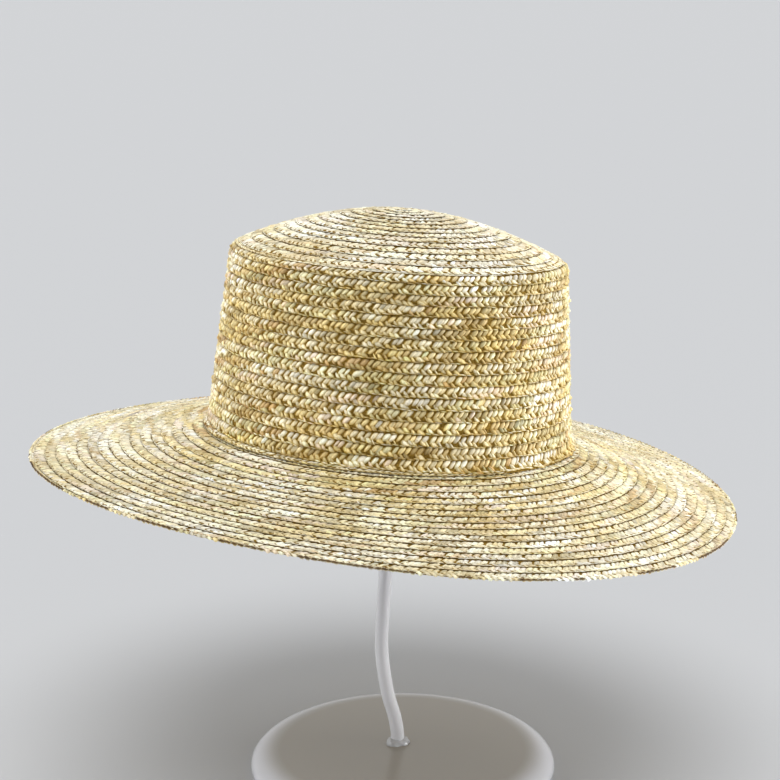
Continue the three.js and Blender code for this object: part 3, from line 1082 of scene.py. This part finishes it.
# %% [markdown]
# The glue was squeezed round the rod's foot and set as it ran, so it is a low dome with a
# wavering outline. It is turned like the base, and a few sine waves round the axis make its
# radius uneven. A random shape would be no truer, and waves are easy to keep small.

# %% The glue at the rod's foot
ROD_FOOT = Vector((-2.8, 5.0, BASE_HEIGHT))
GLUE_RADIUS = 6.2
GLUE_TOP_RADIUS = 3.6
GLUE_HEIGHT = 3.4
GLUE_LIFT = 0.05
GLUE_MIDDLE_HEIGHT = 3.42
GLUE_STEPS = 12
GLUE_SEGMENTS = 48


def glue_lump(angle, height):
    waves = 0.09 * math.sin(2 * angle + 0.7) + 0.07 * math.sin(3 * angle + 2.1)
    return 1 + waves + 0.05 * math.sin(7 * angle + 2 * height)


def glue_profile():
    profile = [(0, GLUE_LIFT)]
    for step in range(GLUE_STEPS + 1):
        angle = step / GLUE_STEPS * math.pi / 2
        radius = GLUE_TOP_RADIUS + (GLUE_RADIUS - GLUE_TOP_RADIUS) * math.cos(angle)
        profile.append((radius, GLUE_LIFT + GLUE_HEIGHT * math.sin(angle)))
    profile.append((0, GLUE_MIDDLE_HEIGHT))
    return profile


glue_outline = glue_profile()
link_piece("glue_blob", turned_points(glue_outline, GLUE_SEGMENTS, ROD_FOOT, glue_lump),
           turned_faces(len(glue_outline) - 2, GLUE_SEGMENTS),
           clear_plastic, "stand_collar")

# %% [markdown]
# Something must carry the tip, and the hat hides it. A plain round pad is the usual thing. Its
# top follows the tip's dome from below, so it is turned with the tip's own curve and then moved
# with the leaning hat. The tip is oval and the pad is round, so the pad takes the curve of the
# tip's short axis, where the tip falls fastest.

# %% The pad under the tip
PAD_RADIUS = 28.0
PAD_EDGE = 3.0
PAD_GAP = 1.9
PAD_CHAMFER = 0.6
PAD_LIP = 0.3
PAD_RINGS = 12
PAD_SEGMENTS = 96
SHORT_SHARE = 1 - CROWN_OVAL / CROWN_RADIUS


def pad_top(radius):
    return tip_height(radius / SHORT_SHARE) - PAD_GAP


def hat_to_row(point):
    """A point of the upright hat, moved to where the hat leans on its stand, in metres."""
    return Matrix.Rotation(HAT_LEAN, 3, "Y") @ point + HAT_PLACE * MM


def pad_profile(foot):
    profile = [(0, foot), (PAD_RADIUS - PAD_CHAMFER, foot), (PAD_RADIUS, foot + PAD_CHAMFER)]
    profile.append((PAD_RADIUS, foot + PAD_EDGE - PAD_CHAMFER))
    profile.append((PAD_RADIUS, pad_top(PAD_RADIUS) - PAD_LIP))
    for ring in range(1, PAD_RINGS):
        radius = PAD_RADIUS * (1 - ring / PAD_RINGS)
        profile.append((radius, pad_top(radius)))
    profile.append((0, pad_top(0)))
    return profile


pad_foot = pad_top(PAD_RADIUS) - PAD_EDGE
pad_outline = pad_profile(pad_foot)
pad_points = [hat_to_row(p) for p in turned_points(pad_outline, PAD_SEGMENTS)]
link_piece("round_pad", pad_points, turned_faces(len(pad_outline) - 2, PAD_SEGMENTS),
           clear_plastic, "stand_cap")

# %% [markdown]
# The rod is a tube nearly 8 mm across. Its line passes through a few chosen bends, given as
# shares of its height and of its widest bow to the left, and a smooth curve joins them.
# Blender's own curve could sweep it, but the bore has to be real too, because the bright and
# dark lines in a clear tube come from both walls.

# %% The bent rod
ROD_RADIUS = 3.9
ROD_BORE = 2.3
ROD_BOW = 9.4
ROD_BENDS = [
    (0.0, 0.0), (0.0106, 0.0), (0.053, 0.19), (0.094, 0.56), (0.134, 0.8),
    (0.195, 1.0), (0.255, 0.95), (0.334, 0.8), (0.67, 0.38), (1.0, 0.0),
]
ROD_CLEARANCE = 0.3
ROD_STEPS = 120
ROD_SIDES = 28


def smooth_step(t, start, end, slope_in, slope_out):
    """A cubic curve between two values, t from 0 to 1; the slopes are over the whole step."""
    return ((2 * t**3 - 3 * t**2 + 1) * start + (t**3 - 2 * t**2 + t) * slope_in
            + (3 * t**2 - 2 * t**3) * end + (t**3 - t**2) * slope_out)


def rod_line():
    """Points down the middle of the rod, on a smooth curve through the bends, in metres."""
    low = ROD_FOOT * MM + Vector((0, 0, ROD_CLEARANCE * MM))
    high = hat_to_row(Vector((0, 0, pad_foot - ROD_CLEARANCE)) * MM)
    anchors = [low.lerp(high, height) - Vector((ROD_BOW * bow * MM, 0, 0)) for height, bow in ROD_BENDS]
    heights = [a.z for a in anchors]
    slopes = np.gradient([a.x for a in anchors], heights)
    z = np.linspace(heights[0], heights[-1], ROD_STEPS)
    x = []
    for value in z:
        i = min(max(int(np.searchsorted(heights, value)) - 1, 0), len(anchors) - 2)
        span = heights[i + 1] - heights[i]
        t = (value - heights[i]) / span
        x.append(smooth_step(t, anchors[i].x, anchors[i + 1].x, span * slopes[i], span * slopes[i + 1]))
    y = np.interp(z, heights, [a.y for a in anchors])
    return [Vector(p) for p in zip(x, y, z)]


def tube_points(line, radius):
    """Rings of points round a line; the radius is in mm and the line in metres."""
    points = []
    for i, centre in enumerate(line):
        ahead = (line[min(i + 1, len(line) - 1)] - line[max(i - 1, 0)]).normalized()
        across = ahead.cross(Vector((0, 1, 0))).normalized()
        depth = across.cross(ahead).normalized()
        for j in range(ROD_SIDES):
            angle = TURN * j / ROD_SIDES
            points.append(centre + (across * math.cos(angle) + depth * math.sin(angle)) * radius * MM)
    return points


def tube_faces(rings):
    """Faces of an outer and an inner wall with the same rings, and of the ends between them."""
    faces = []
    wall = rings * ROD_SIDES
    end = (rings - 1) * ROD_SIDES
    sides = [(j, (j + 1) % ROD_SIDES) for j in range(ROD_SIDES)]
    for a in range(0, end, ROD_SIDES):
        b = a + ROD_SIDES
        for j, k in sides:
            faces.append((a + k, a + j, b + j, b + k))
            faces.append((wall + a + j, wall + a + k, wall + b + k, wall + b + j))
    for j, k in sides:
        faces.append((j, k, wall + k, wall + j))
        faces.append((end + k, end + j, wall + end + j, wall + end + k))
    return faces


line = rod_line()
link_piece("bent_rod", tube_points(line, ROD_RADIUS) + tube_points(line, ROD_BORE), tube_faces(len(line)),
           milky_plastic, "stand_stem")
